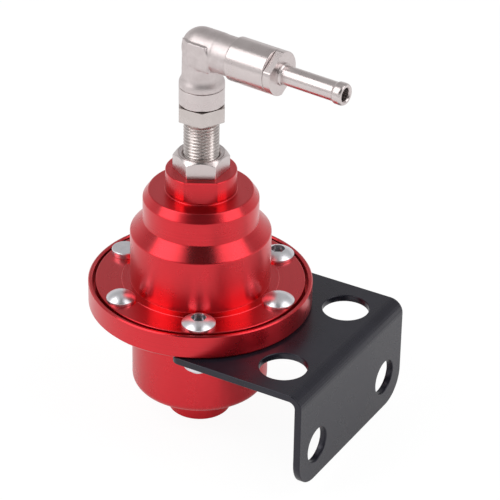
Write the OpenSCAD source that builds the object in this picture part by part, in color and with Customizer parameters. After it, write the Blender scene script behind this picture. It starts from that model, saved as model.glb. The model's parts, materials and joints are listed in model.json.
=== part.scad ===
// Adjustable fuel pressure regulator with a swivel vacuum elbow and an L-shaped mounting bracket.
// Origin: centre of the return port's face, under the boss. +Z runs up the regulator's axis and
// +X points from the axis towards the bracket's folded wall. Millimetres.

/* [Lower body] */
// Diameter of the boss around the return port
boss_d = 18; // [15:0.5:22]
// Height of that boss
boss_h = 9; // [6:0.5:12]
// Diameter of the fuel chamber housing
body_d = 39.2; // [36:0.2:40]
// Height of the housing between boss and flange
body_h = 26.5; // [24:0.5:32]
// Rounding of the housing's bottom edge
body_edge_r = 2.8; // [1:0.2:4]
// Diameter of the clamping flange
flange_d = 64; // [63:0.5:70]
// Thickness of the clamping flange
flange_t = 7.5; // [6.5:0.1:10]
// Chamfer under the flange's edge
flange_chamfer = 0.8; // [0.3:0.1:1.5]
// Wall of the raised rim around the bonnet
rim_wall = 1.2; // [0.8:0.1:1.6]
// Gap between the rim and the bonnet's edge
rim_gap = 0.9; // [0.4:0.1:1.2]

/* [Fuel passages] */
// Tapped diameter of the three fuel ports
port_d = 8.8; // [7:0.2:10]
// Depth of the return port's thread
return_depth = 9.5; // [7:0.5:10]
// Diameter of the flat cut around each side port
spotface_d = 15; // [12:0.5:18]
// How deep that flat is cut into the housing
spotface_depth = 1.2; // [0.6:0.1:2]
// Height of the side ports' axes
port_z = 22; // [21:0.5:24]
// Diameter of the fuel chamber
chamber_d = 20; // [17:0.5:21]
// Height of the chamber's floor
chamber_z = 17; // [16.5:0.5:17.5]
// Diameter of the shallow dish under the diaphragm
dish_d = 34; // [32:0.5:36]
// Depth of that dish
dish_depth = 3; // [2.2:0.1:4]

/* [Bonnet] */
// Thickness of the bonnet's flange
disc_t = 3.2; // [2.6:0.1:4]
// Diameter of the bonnet's lower drum
drum_d = 40; // [38:0.5:41]
// Height of the drum above the flange
drum_h = 16; // [14:0.5:20]
// Fillet where the drum meets the flange
drum_fillet = 1.8; // [0.8:0.1:2]
// Diameter of the second step
step_d = 32.8; // [31:0.2:35]
// Height of the cone between drum and step
cone_h = 3.8; // [2:0.2:6]
// Height of the second step
step_h = 6.8; // [5:0.2:9]
// Diameter of the flat top of the second step
top_d = 29.5; // [26:0.5:31]
// Height of the chamfer below that top
top_chamfer_h = 2.4; // [1:0.2:4]
// Diameter of the neck
neck_d = 20.1; // [18:0.1:24]
// Height of the neck
neck_h = 6.5; // [5:0.5:10]
// Width across the neck's two spanner flats
neck_flats = 17.8; // [16:0.1:18]
// Height of the full ring left below the flats
neck_ring_h = 0.6; // [0.3:0.1:1.5]
// Diameter of the wide spring chamber
spring_bore_d = 31; // [29:0.5:32]
// Diameter of the upper guide bore of the spring seat
guide_bore_d = 24; // [23.5:0.5:26]
// Thickness of the wall above the guide bore
roof_t = 4; // [3:0.5:5]

/* [Diaphragm and valve] */
// Thickness of the diaphragm
diaphragm_t = 1; // [0.6:0.1:1.4]
// Diameter of the two plates that clamp the diaphragm
plate_d = 27; // [26:0.5:28]
// Thickness of each plate
plate_t = 1.5; // [1:0.1:1.8]
// Diameter of the stud through the plates
stud_d = 5; // [4:0.5:6]
// Height of the cup below the stud
cup_h = 2.8; // [2.6:0.1:3.2]
// Diameter of that cup
cup_d = 9; // [8:0.5:10]
// Diameter of the valve's ball
ball_d = 3.6; // [3:0.1:3.8]
// Diameter of the flat valve disc
valve_d = 8; // [7:0.5:9]
// Thickness of the flat valve disc
valve_t = 1.2; // [1:0.1:1.4]
// Gap between valve disc and cup
valve_gap = 0.3; // [0.1:0.1:0.5]
// Diameter of the valve seat's stem
seat_d = 8; // [7:0.5:9]
// Diameter of the hole through the valve seat
seat_bore_d = 4; // [3:0.2:5]
// Diameter of the valve seat's shoulder
seat_shoulder_d = 12; // [11:0.5:13]
// Thickness of the valve seat's shoulder
seat_shoulder_t = 2; // [1.5:0.1:2.5]
// Length of the valve seat pressed into the body
seat_root_h = 4; // [3:0.5:5]
// Section diameter of the valve seat's sealing ring
seat_ring_d = 1.6; // [1.2:0.1:1.8]
// Width across flats of the stud's nut
stud_nut_flats = 8; // [7:0.5:9]
// Height of the stud's nut
stud_nut_h = 2.4; // [2:0.2:3]

/* [Spring] */
// Mean diameter of the main spring
spring_d = 20; // [18:0.5:20.5]
// Diameter of the spring's wire
wire_d = 3; // [2:0.2:3.4]
// Length of the spring as fitted
spring_h = 20.7; // [18:0.1:21]
// Turns of the spring between its closed ends
spring_turns = 3.5; // [3:0.5:4]
// Diameter of the upper spring seat
seat_plate_d = 23; // [22:0.5:23.5]
// Thickness of the upper spring seat
seat_plate_t = 2.5; // [2:0.1:3]

/* [Adjuster and locknut] */
// Outside diameter of the adjuster's fine thread
thread_d = 10; // [8:0.5:12]
// Length of thread that shows above the locknut
thread_show = 11; // [8:0.5:14]
// Width across the adjuster's hexagon
hex_flats = 12.6; // [11:0.1:14]
// Height of the adjuster's hexagon
hex_h = 4.4; // [3.5:0.1:6]
// Angle at which the hexagon stands, a corner towards the bracket at zero
hex_angle = 7; // [-30:1:30]
// Diameter of the passage through the adjuster
passage_d = 4; // [2.5:0.5:4]
// Diameter of the spigot inside the elbow
spigot_d = 8; // [7.6:0.1:8.4]
// Length of the spigot inside the elbow
spigot_h = 8; // [7.5:0.5:9]
// Diameter of the dog point that presses on the spring seat
tip_d = 7; // [6:0.5:8]
// Length of that dog point
tip_h = 2.5; // [1.5:0.5:3]
// Width across the locknut's flats
nut_flats = 14; // [13:0.5:17]
// Height of the locknut
nut_h = 5.1; // [4:0.1:7]

/* [Elbow and hose nipple] */
// Direction of the elbow's arm, in degrees from the bracket's fold
arm_angle = -5.5; // [-180:0.5:180]
// Diameter of the collar at the elbow's foot
collar_d = 12.7; // [12:0.1:14]
// Height of the collar's polished ring
collar_h = 5.1; // [4:0.1:6]
// Height of the rough shoulder above that ring
shoulder_h = 1.9; // [1:0.1:3]
// Diameter of the elbow's arm
elbow_d = 11; // [10.4:0.1:11.8]
// Height of the arm's axis above the elbow's foot
arm_rise = 16.7; // [15.5:0.1:20]
// Diameter of the elbow's leg
leg_d = 10.8; // [10.4:0.1:11]
// Reach of the elbow's round heel behind the axis
heel_r = 5.5; // [5:0.1:6]
// Width across the elbow's flat cheeks
cheek_w = 11.4; // [11:0.1:12]
// Distance from the axis to the clamping sleeve
sleeve_from = 11.6; // [10:0.1:13]
// Diameter of the clamping sleeve
sleeve_d = 12.4; // [11.5:0.1:14]
// Length of the clamping sleeve
sleeve_l = 12.6; // [10:0.1:16]
// Bore of the clamping sleeve
sleeve_bore_d = 9; // [8.4:0.1:9.4]
// Diameter of the nipple's collar
nipple_collar_d = 12.4; // [11:0.1:14]
// Width across the two spanner flats on that collar
nipple_flats = 10; // [9:0.1:11]
// Angle of those flats about the arm
nipple_angle = 33.5; // [0:0.5:180]
// Thickness of that collar
nipple_collar_t = 2.5; // [2:0.1:4]
// Diameter of the hose tail
tail_d = 5.4; // [4.6:0.1:6.4]
// Length of the hose tail
tail_l = 20.3; // [16:0.1:28]
// Diameter of the bead at the tail's end
bead_d = 6.2; // [5.4:0.1:7]
// Length of that bead
bead_l = 3; // [2:0.1:4]
// Bore of the hose tail
tail_bore_d = 3.7; // [2.6:0.1:4]

/* [Bracket] */
// Thickness of the bracket's sheet
sheet_t = 2.1; // [1.8:0.1:3]
// Width of the bracket along its fold
bracket_w = 60; // [54:0.5:64]
// Distance from the regulator's axis to the outer face of the wall
bracket_reach = 50; // [48:0.5:60]
// Distance from the bracket's screws to the tips of its two horns
horn_margin = 4.55; // [4:0.05:6]
// Corner radius at the horns' outer corners
horn_corner_r = 2.5; // [1:0.1:4]
// Height of the bracket's wall
wall_h = 31; // [28:0.5:36]
// Outer radius of the fold
fold_r = 4; // [3.5:0.1:6]
// Corner radius at the bottom of the wall
wall_corner_r = 8.5; // [3:0.5:9]
// Gap between the bracket's round notch and the housing
notch_gap = 0.5; // [0.3:0.1:0.8]
// Diameter of the two holes in the shelf
shelf_hole_d = 13.4; // [10:0.2:14]
// Distance between the shelf holes
shelf_hole_span = 36; // [32:0.5:40]
// Distance from the wall's outer face to the shelf holes
shelf_hole_inset = 12.4; // [12:0.1:13]
// Diameter of the two holes in the wall
wall_hole_d = 10.4; // [7:0.2:11]
// Distance between the wall holes
wall_hole_span = 39.8; // [34:0.2:42]
// Distance from the wall's bottom edge to its holes
wall_hole_z = 10.4; // [9:0.2:12]

/* [Fasteners] */
// How far the fasteners stand outside the middle between drum and bonnet edge
bolt_offset = 0.55; // [0:0.05:0.8]
// Thread diameter of the flange fasteners
bolt_d = 5; // [4:0.5:5.5]
// Diameter of the round heads
head_d = 9.5; // [8:0.1:10]
// Height of the round heads
head_h = 2.8; // [2:0.1:3.2]
// Width across the hexagon socket
socket_flats = 3; // [2.5:0.5:3]
// Depth of the hexagon socket
socket_depth = 1.8; // [1:0.1:1.8]
// Width across the bolts' nuts
bolt_nut_flats = 8; // [7:0.5:8]
// Height of the bolts' nuts
bolt_nut_h = 4; // [3:0.1:4.5]
// Length of bolt that shows below its nut
bolt_end = 1.2; // [0.5:0.1:2]

/* [Hidden] */
$fn = 64;
// Radial room between a screw and its clearance hole, and in a turning fit
hole_room = 0.1;
fit_room = 0.05;
// Radial room between a fastener's head and the pocket milled for it in the drum's foot
head_room = 0.2;
// Room above the hexagon on which the elbow turns
swivel_room = 0.2;
// Small edge break on turned pieces, and overlap of a cutting tool past a face
edge = 0.3;
cut = 1;
// Number of straight pieces in a quarter of a rounded edge
arc_steps = 8;
fastener_angles = [for (k = [0:5]) k * 60];
screw_angles = [-60, 60];
rivet_angles = [0, 120, 180, 240];
// Direction in which the neck's flats and the locknut's flat look
flats_angle = -60;

boss_r = boss_d / 2;
body_r = body_d / 2;
flange_r = flange_d / 2;
bolt_r = bolt_d / 2;
bolt_hole_r = bolt_r + hole_room;
flange_z = boss_h + body_h;
flange_top = flange_z + flange_t;
diaphragm_z = flange_top - disc_t - diaphragm_t;
disc_z = flange_top - disc_t;
disc_r = flange_r - rim_wall - rim_gap;
drum_r = drum_d / 2;
bolt_circle_r = (drum_r + disc_r) / 2 + bolt_offset;
drum_top = flange_top + drum_h;
step_r = step_d / 2;
step_z = drum_top + cone_h;
step_top = step_z + step_h;
neck_z = step_top + top_chamfer_h;
neck_r = neck_d / 2;
neck_top = neck_z + neck_h;
guide_top = neck_z - roof_t;
thread_r = thread_d / 2;
tapped_r = thread_r + fit_room;

// Valve stack, from the diaphragm down to the seat
stud_r = stud_d / 2;
plate_r = plate_d / 2;
lower_plate_z = diaphragm_z - plate_t;
cup_z = lower_plate_z - cup_h;
valve_z = cup_z - valve_gap - valve_t;
ball_z = lower_plate_z - edge - ball_d / 2;
upper_plate_z = diaphragm_z + diaphragm_t;
spring_z = upper_plate_z + plate_t;
stud_top = spring_z + stud_nut_h + edge;

// Upper spring seat and adjuster, from the spring up
seat_plate_z = spring_z + spring_h;
tip_z = seat_plate_z + seat_plate_t;
nut_top = neck_top + nut_h;
hex_z = nut_top + thread_show;
hex_top = hex_z + hex_h;
spigot_r = spigot_d / 2;

// Elbow, in a frame whose X axis runs along the arm
elbow_z = hex_top + swivel_room;
collar_r = collar_d / 2;
elbow_r = elbow_d / 2;
leg_r = leg_d / 2;
cheek_front = elbow_r + 0.4;
cheek_rise = 3.2;
cheek_corner = 2.4;
arm_neck_l = 1.2;
arm_z = elbow_z + arm_rise;
socket_top = elbow_z + spigot_h + edge;
ring_groove_w = 1.6;
ring_groove_z = hex_top + 2;
ring_section_d = 1;
clip_t = 0.8;
clip_z = hex_top + 5.4;
clip_depth = 0.7;
sleeve_to = sleeve_from + sleeve_l;
stub_to = sleeve_from + sleeve_l * 0.6;
gasket_t = 1;
nipple_end = sleeve_to + nipple_collar_t + tail_l;

// Bracket
shelf_top = flange_z;
wall_z = shelf_top - wall_h;
horn_x = bolt_circle_r * cos(screw_angles[1]) - horn_margin;
shelf_hole_x = bracket_reach - shelf_hole_inset;
notch_r = body_r + notch_gap;
bolt_nut_z = shelf_top - sheet_t - bolt_nut_h;

// Points on an arc about [x, z] from one angle to another
function arc(x, z, r, from, to) =
    [for (k = [0:arc_steps]) let (a = from + (to - from) * k / arc_steps) [x + r * cos(a), z + r * sin(a)]];

// A pin or hole along Z between two heights
module column(r, z0, z1) {
    translate([0, 0, z0]) cylinder(r = r, h = z1 - z0);
}

// A copy of the children at each flange fastener named by its angle
module at_fasteners(angles) {
    for (a = angles) rotate([0, 0, a]) translate([bolt_circle_r, 0, 0]) children();
}

// A hexagonal prism on Z, one flat facing +X
module hexagon(flats, z0, z1) {
    translate([0, 0, z0]) rotate([0, 0, 30]) cylinder(d = flats / cos(30), h = z1 - z0, $fn = 6);
}

// A hexagon whose corners are turned off at the top and, unless its foot is square, at the bottom
module chamfered_hexagon(flats, z0, z1, square_foot = false) {
    corner_r = flats / cos(30) / 2;
    face_r = flats / 2 - edge;
    drop = (corner_r - face_r) * tan(40);
    intersection() {
        hexagon(flats, z0, z1);
        rotate_extrude() polygon(concat([[0, z0]],
            square_foot ? [[corner_r + edge, z0], [corner_r + edge, z1 - drop - edge * tan(40)]]
                : [[face_r, z0], [corner_r, z0 + drop], [corner_r, z1 - drop]],
            [[face_r, z1], [0, z1]]));
    }
}

// A ring of round section about Z
module ring(mean_r, section_r, z) {
    translate([0, 0, z]) rotate_extrude() translate([mean_r, 0]) circle(r = section_r, $fn = 24);
}

// Turns pieces drawn along Z so that they lie along the elbow's arm
module along_arm() {
    rotate([0, 0, arm_angle]) translate([0, 0, arm_z]) rotate([0, 90, 0]) children();
}

// Drawn with the spotface at the mouth and the drill running in to the chamber
module side_port(angle) {
    rotate([0, 0, angle]) translate([0, 0, port_z]) rotate([0, 90, 0]) {
        translate([0, 0, chamber_d / 4]) cylinder(d = port_d, h = body_r);
        translate([0, 0, body_r - spotface_depth]) cylinder(d = spotface_d, h = spotface_depth + cut);
    }
}

module lower_body() color([0.72, 0.05, 0.09]) {
    rim_r = flange_r - rim_wall;
    difference() {
        rotate_extrude($fn = 96) polygon(concat(
            [[0, 0], [boss_r - edge, 0], [boss_r, edge], [boss_r, boss_h]],
            arc(body_r - body_edge_r, boss_h + body_edge_r, body_edge_r, -90, 0),
            [[body_r, flange_z], [flange_r - flange_chamfer, flange_z],
                [flange_r, flange_z + flange_chamfer], [flange_r, flange_top - edge],
                [flange_r - edge, flange_top], [rim_r + edge, flange_top], [rim_r, flange_top - edge],
                [rim_r, diaphragm_z], [0, diaphragm_z]]));
        column(dish_d / 2, diaphragm_z - dish_depth, diaphragm_z + cut);
        column(chamber_d / 2, chamber_z, diaphragm_z);
        column(seat_bore_d / 2, 0, chamber_z + cut);
        column(port_d / 2, -cut, return_depth);
        column(seat_d / 2, chamber_z - seat_root_h, chamber_z + cut);
        column(seat_d / 2 + seat_ring_d, chamber_z - seat_ring_d, chamber_z + cut);
        side_port(90);
        side_port(180);
        at_fasteners(fastener_angles) column(bolt_hole_r, flange_z - cut, flange_top);
    }
}

module bonnet() color([0.78, 0.06, 0.1]) {
    difference() {
        rotate_extrude($fn = 96) polygon(concat(
            [[0, disc_z], [disc_r, disc_z], [disc_r, flange_top - edge], [disc_r - edge, flange_top]],
            arc(drum_r + drum_fillet, flange_top + drum_fillet, drum_fillet, 270, 180),
            [[drum_r, drum_top], [step_r, step_z], [step_r, step_top], [top_d / 2, neck_z], [neck_r, neck_z],
                [neck_r, neck_top - edge], [neck_r - edge, neck_top], [0, neck_top]]));
        column(spring_bore_d / 2, disc_z - cut, drum_top - edge);
        column(guide_bore_d / 2, disc_z, guide_top);
        column(tapped_r, guide_top - cut, neck_top + cut);
        at_fasteners(fastener_angles) {
            column(bolt_hole_r, disc_z - cut, flange_top + cut);
            column(head_d / 2 + head_room, flange_top, drum_top);
        }
        for (side = [0, 180]) rotate([0, 0, flats_angle + side])
            translate([neck_flats / 2, -neck_r, neck_z + neck_ring_h]) cube([neck_r, neck_d, neck_h]);
    }
}

// The folded strip seen from its end: shelf, rounded fold and wall
module folded_profile() {
    inner_r = fold_r - sheet_t;
    difference() {
        polygon(concat([[horn_x, shelf_top]],
            arc(bracket_reach - fold_r, shelf_top - fold_r, fold_r, 90, 0),
            [[bracket_reach, wall_z], [horn_x, wall_z]]));
        polygon(concat([[horn_x - cut, shelf_top - sheet_t]],
            arc(bracket_reach - fold_r, shelf_top - fold_r, inner_r, 90, 0),
            [[bracket_reach - sheet_t, wall_z - cut], [horn_x - cut, wall_z - cut]]));
    }
}

// The wall's outline with its two round bottom corners, drawn across the width and up
module wall_outline() {
    corner_y = bracket_w / 2 - wall_corner_r;
    translate([-bracket_w / 2, wall_z + wall_corner_r]) square([bracket_w, wall_h]);
    translate([-corner_y, wall_z]) square([2 * corner_y, wall_h]);
    for (side = [-1, 1]) translate([side * corner_y, wall_z + wall_corner_r]) circle(r = wall_corner_r);
}

// The bracket's outline seen from above, with the horns' two outer corners rounded
module shelf_outline() {
    corner_x = horn_x + horn_corner_r;
    corner_y = bracket_w / 2 - horn_corner_r;
    translate([corner_x, -bracket_w / 2]) square([bracket_reach, bracket_w]);
    translate([horn_x, -corner_y]) square([bracket_reach, 2 * corner_y]);
    for (side = [-1, 1]) translate([corner_x, side * corner_y]) circle(r = horn_corner_r);
}

module mounting_bracket() color([0.1, 0.1, 0.11]) {
    difference() {
        intersection() {
            translate([0, bracket_w / 2, 0]) rotate([90, 0, 0]) linear_extrude(bracket_w) folded_profile();
            rotate([90, 0, 90]) linear_extrude(bracket_reach + cut) wall_outline();
            linear_extrude(shelf_top + cut) shelf_outline();
        }
        column(notch_r, shelf_top - sheet_t - cut, shelf_top + cut);
        at_fasteners(screw_angles) column(bolt_hole_r, shelf_top - sheet_t - cut, shelf_top + cut);
        for (side = [-1, 1]) {
            translate([shelf_hole_x, side * shelf_hole_span / 2, 0])
                column(shelf_hole_d / 2, shelf_top - sheet_t - cut, shelf_top + cut);
            translate([bracket_reach - sheet_t - cut, side * wall_hole_span / 2, wall_z + wall_hole_z])
                rotate([0, 90, 0]) cylinder(d = wall_hole_d, h = sheet_t + 2 * cut);
        }
    }
}

// A low dome standing on the bonnet's flange, part of a sphere with a short upright edge
module round_head() {
    rise = head_h - edge;
    dome_r = (head_d * head_d / 4 + rise * rise) / (2 * rise);
    half_angle = asin(head_d / 2 / dome_r);
    rotate_extrude() polygon(concat([[0, flange_top], [head_d / 2, flange_top]],
        arc(0, flange_top + head_h - dome_r, dome_r, 90 - half_angle, 90)));
}

module bracket_screws() color([0.78, 0.78, 0.8]) {
    at_fasteners(screw_angles) difference() {
        union() {
            round_head();
            column(bolt_r, bolt_nut_z - bolt_end, flange_top);
        }
        hexagon(socket_flats, flange_top + head_h - socket_depth, flange_top + head_h + cut);
    }
}

module bracket_nuts() color([0.74, 0.74, 0.76]) {
    at_fasteners(screw_angles) difference() {
        chamfered_hexagon(bolt_nut_flats, bolt_nut_z, bolt_nut_z + bolt_nut_h);
        column(bolt_r + fit_room, bolt_nut_z - cut, bolt_nut_z + bolt_nut_h + cut);
    }
}

module flange_rivets() color([0.8, 0.8, 0.82]) {
    at_fasteners(rivet_angles) {
        round_head();
        column(bolt_r, flange_z, flange_top);
    }
}

module diaphragm() color([0.16, 0.15, 0.14]) {
    difference() {
        column(disc_r, diaphragm_z, diaphragm_z + diaphragm_t);
        column(stud_r + fit_room, diaphragm_z - cut, disc_z + cut);
        at_fasteners(fastener_angles) column(bolt_hole_r, diaphragm_z - cut, disc_z + cut);
    }
}

// A plate beside the diaphragm, with its outer edge eased so that the rubber isn't cut
module clamping_plate(z) {
    difference() {
        rotate_extrude() polygon([[0, z], [plate_r - edge, z], [plate_r, z + edge],
            [plate_r, z + plate_t - edge], [plate_r - edge, z + plate_t], [0, z + plate_t]]);
        column(stud_r + fit_room, z - cut, z + plate_t + cut);
    }
}

module upper_plate() color([0.7, 0.68, 0.55]) clamping_plate(upper_plate_z);

module lower_plate() color([0.7, 0.68, 0.55]) clamping_plate(lower_plate_z);

module diaphragm_stud() color([0.75, 0.75, 0.76]) {
    difference() {
        union() {
            column(cup_d / 2, cup_z, lower_plate_z);
            column(stud_r, cup_z, stud_top);
        }
        translate([0, 0, ball_z]) sphere(d = ball_d + 2 * fit_room);
        column(ball_d / 2 + fit_room, cup_z - cut, ball_z);
    }
}

module stud_nut() color([0.72, 0.72, 0.74]) {
    difference() {
        chamfered_hexagon(stud_nut_flats, spring_z, spring_z + stud_nut_h);
        column(stud_r + fit_room, spring_z - cut, spring_z + stud_nut_h + cut);
    }
}

module valve_ball() color([0.85, 0.85, 0.86]) {
    translate([0, 0, ball_z]) sphere(d = ball_d);
}

module valve_disc() color([0.8, 0.8, 0.81]) {
    difference() {
        column(valve_d / 2, valve_z, valve_z + valve_t);
        translate([0, 0, ball_z]) sphere(d = ball_d + 2 * fit_room);
    }
}

module valve_seat() color([0.8, 0.66, 0.32]) {
    lip = 1;
    difference() {
        rotate_extrude() polygon([[0, chamber_z - seat_root_h], [seat_d / 2, chamber_z - seat_root_h],
            [seat_d / 2, chamber_z], [seat_shoulder_d / 2, chamber_z],
            [seat_shoulder_d / 2, chamber_z + seat_shoulder_t], [seat_d / 2, chamber_z + seat_shoulder_t],
            [seat_d / 2, valve_z - lip], [seat_d / 2 - lip, valve_z], [0, valve_z]]);
        column(seat_bore_d / 2, chamber_z - seat_root_h - cut, valve_z + cut);
    }
}

module seat_ring() color([0.1, 0.1, 0.1]) {
    ring(seat_d / 2 + seat_ring_d / 2, seat_ring_d / 2, chamber_z - seat_ring_d / 2);
}

// A round wire wound up the axis, with a closed turn at each end that is ground flat
module main_spring() color([0.6, 0.6, 0.62]) {
    sides = 10;
    steps_per_turn = 18;
    end_turns = 1;
    wire_r = wire_d / 2;
    turns = spring_turns + 2 * end_turns;
    steps = turns * steps_per_turn;
    // The wire starts partly ground away and climbs just over its own thickness in the closed turn
    ground = wire_d / 6;
    end_rise = wire_d * 1.02 - ground;
    free_rise = spring_h - 2 * end_rise;
    height = function (t) t < end_turns ? -ground + (end_rise + ground) * t / end_turns
        : t > turns - end_turns ? spring_h + ground - (end_rise + ground) * (turns - t) / end_turns
        : end_rise + free_rise * (t - end_turns) / spring_turns;
    rings = [for (k = [0:steps]) let (t = k / steps_per_turn) [for (j = [0:sides - 1])
        let (a = 360 * j / sides, r = spring_d / 2 + wire_r * cos(a))
        [r * cos(360 * t), r * sin(360 * t), spring_z + height(t) + wire_r * sin(a)]]];
    points = [for (loop = rings) each loop];
    skin = [for (k = [0:steps - 1]) for (j = [0:sides - 1]) let (n = (j + 1) % sides)
        [k * sides + j, (k + 1) * sides + j, (k + 1) * sides + n, k * sides + n]];
    caps = [[for (j = [0:sides - 1]) j], [for (j = [0:sides - 1]) steps * sides + sides - 1 - j]];
    intersection() {
        polyhedron(points = points, faces = concat(skin, caps), convexity = 10);
        column(spring_bore_d / 2, spring_z, spring_z + spring_h);
    }
}

module spring_seat() color([0.7, 0.7, 0.72]) {
    lip_h = 1.2;
    lip_r = spring_d / 2 - wire_d / 2 - edge;
    difference() {
        union() {
            column(seat_plate_d / 2, seat_plate_z, tip_z);
            column(lip_r, seat_plate_z - lip_h, seat_plate_z);
        }
        column(passage_d / 2, seat_plate_z - lip_h - cut, tip_z + cut);
    }
}

module adjuster_screw() color([0.78, 0.76, 0.75]) {
    difference() {
        union() {
            column(tip_d / 2, tip_z, tip_z + tip_h);
            translate([0, 0, tip_z + tip_h])
                cylinder(r1 = tip_d / 2, r2 = thread_r, h = thread_r - tip_d / 2);
            column(thread_r, tip_z + tip_h + thread_r - tip_d / 2, hex_z + hex_h / 2);
            rotate([0, 0, 30 + hex_angle]) hexagon(hex_flats, hex_z, hex_top);
            column(spigot_r, hex_z, hex_top + spigot_h);
        }
        column(passage_d / 2, tip_z - cut, hex_top + spigot_h + cut);
        spigot_groove(ring_groove_z, ring_groove_w, ring_section_d);
        spigot_groove(clip_z, clip_t + 2 * fit_room, clip_depth);
    }
}

// A groove turned into the spigot
module spigot_groove(z, width, depth) {
    difference() {
        column(spigot_r + cut, z, z + width);
        column(spigot_r - depth, z - cut, z + width + cut);
    }
}

module locknut() color([0.78, 0.77, 0.76]) {
    difference() {
        chamfered_hexagon(nut_flats, neck_top, nut_top, true);
        column(tapped_r, neck_top - cut, nut_top + cut);
    }
}

module swivel_ring() color([0.1, 0.1, 0.1]) {
    section_r = ring_section_d / 2;
    ring(spigot_r - section_r, section_r, ring_groove_z + ring_groove_w / 2);
}

module swivel_clip() color([0.45, 0.45, 0.47]) {
    gap = 3;
    outer_r = spigot_r + clip_depth;
    translate([0, 0, clip_z + fit_room]) difference() {
        cylinder(r = outer_r, h = clip_t);
        translate([0, 0, -cut]) cylinder(r = spigot_r - clip_depth + fit_room, h = clip_t + 2 * cut);
        translate([0, -gap / 2, -cut]) cube([outer_r + cut, gap, clip_t + 2 * cut]);
    }
}

// The flat cheeks seen from the side, with the inner corner and the upper front corner cut off
module cheek_outline() {
    top = arm_z + cheek_rise;
    polygon([[-cheek_w, elbow_z + collar_h], [cheek_corner, elbow_z + collar_h],
        [cheek_front, arm_z - elbow_r], [cheek_front, top - cheek_corner], [cheek_front - 1, top],
        [-cheek_w, top]]);
}

// The cheeks seen from above, narrowing at the back to run into the round leg
module cheek_plan() {
    back = leg_r * 0.72;
    back_y = leg_r * 0.66;
    polygon([[-back, -back_y], [-edge * 4, -cheek_w / 2], [cheek_front, -cheek_w / 2],
        [cheek_front, cheek_w / 2], [-edge * 4, cheek_w / 2], [-back, back_y]]);
}

module elbow_body() color([0.76, 0.73, 0.72]) {
    collar_top = elbow_z + collar_h;
    leg_z = collar_top + shoulder_h;
    neck_r = elbow_r - 2 * edge;
    groove_r = spigot_r + clip_depth + fit_room * 2;
    difference() {
        union() {
            rotate_extrude() polygon([[0, elbow_z], [collar_r - edge, elbow_z], [collar_r, elbow_z + edge],
                [collar_r, leg_z], [leg_r, leg_z + collar_r - leg_r], [leg_r, arm_z], [0, arm_z]]);
            along_arm() rotate_extrude() polygon(concat(arc(0, elbow_r - heel_r, elbow_r, -90, 0),
                [[elbow_r, sleeve_from - arm_neck_l], [neck_r, sleeve_from - arm_neck_l],
                    [neck_r, sleeve_from], [sleeve_bore_d / 2 - fit_room, sleeve_from],
                    [sleeve_bore_d / 2 - fit_room, stub_to], [0, stub_to]]));
            rotate([0, 0, arm_angle]) intersection() {
                translate([0, cheek_w, 0]) rotate([90, 0, 0]) linear_extrude(2 * cheek_w) cheek_outline();
                linear_extrude(arm_z + elbow_d) cheek_plan();
            }
        }
        column(spigot_r + fit_room, elbow_z - cut, socket_top);
        column(groove_r, clip_z - fit_room, clip_z + clip_t + 3 * fit_room);
        column(passage_d / 2, socket_top - cut, arm_z);
        along_arm() column(tail_bore_d / 2, 0, stub_to + cut);
    }
}

module clamp_sleeve() color([0.82, 0.8, 0.79]) {
    sleeve_r = sleeve_d / 2;
    bore_r = sleeve_bore_d / 2;
    along_arm() rotate_extrude() polygon([[bore_r, sleeve_from], [sleeve_r - edge, sleeve_from],
        [sleeve_r, sleeve_from + edge], [sleeve_r, sleeve_to - edge], [sleeve_r - edge, sleeve_to],
        [bore_r, sleeve_to]]);
}

module hose_nipple() color([0.84, 0.81, 0.79]) {
    root_r = sleeve_bore_d / 2 - fit_room;
    collar_end = sleeve_to + nipple_collar_t;
    tail_r = tail_d / 2;
    bead_r = bead_d / 2;
    bead_from = nipple_end - bead_l;
    shoulder = 0.9;
    along_arm() difference() {
        union() {
            column(root_r, stub_to + gasket_t, sleeve_to + nipple_collar_t / 2);
            rotate([0, 0, nipple_angle]) intersection() {
                column(nipple_collar_d / 2, sleeve_to, collar_end);
                translate([-nipple_flats / 2, -nipple_collar_d, sleeve_to])
                    cube([nipple_flats, 2 * nipple_collar_d, nipple_collar_t]);
            }
            rotate_extrude() polygon([[0, sleeve_to], [tail_r + shoulder, sleeve_to],
                [tail_r + shoulder, collar_end + shoulder], [tail_r, collar_end + 2 * shoulder],
                [tail_r, bead_from], [bead_r, bead_from + edge * 2], [bead_r, nipple_end - bead_l / 2],
                [tail_r - edge, nipple_end], [0, nipple_end]]);
        }
        column(tail_bore_d / 2, stub_to, nipple_end + cut);
    }
}

module nipple_gasket() color([0.3, 0.2, 0.15]) {
    along_arm() difference() {
        column(sleeve_bore_d / 2 - fit_room, stub_to, stub_to + gasket_t);
        column(passage_d / 2, stub_to - cut, stub_to + gasket_t + cut);
    }
}

lower_body();
bonnet();
mounting_bracket();
bracket_screws();
bracket_nuts();
flange_rivets();
diaphragm();
upper_plate();
lower_plate();
diaphragm_stud();
stud_nut();
valve_ball();
valve_disc();
valve_seat();
seat_ring();
main_spring();
spring_seat();
adjuster_screw();
locknut();
elbow_body();
swivel_ring();
swivel_clip();
clamp_sleeve();
hose_nipple();
nipple_gasket();
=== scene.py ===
"""Looks of an adjustable fuel pressure regulator: red anodised housing, nickel elbow, black bracket.

Lengths are written in millimetres, as in the part's source, and turned into metres when a mesh is made.
"""
import json
import math

import bmesh
import bpy
import numpy as np
from mathutils import Matrix, Vector


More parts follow.
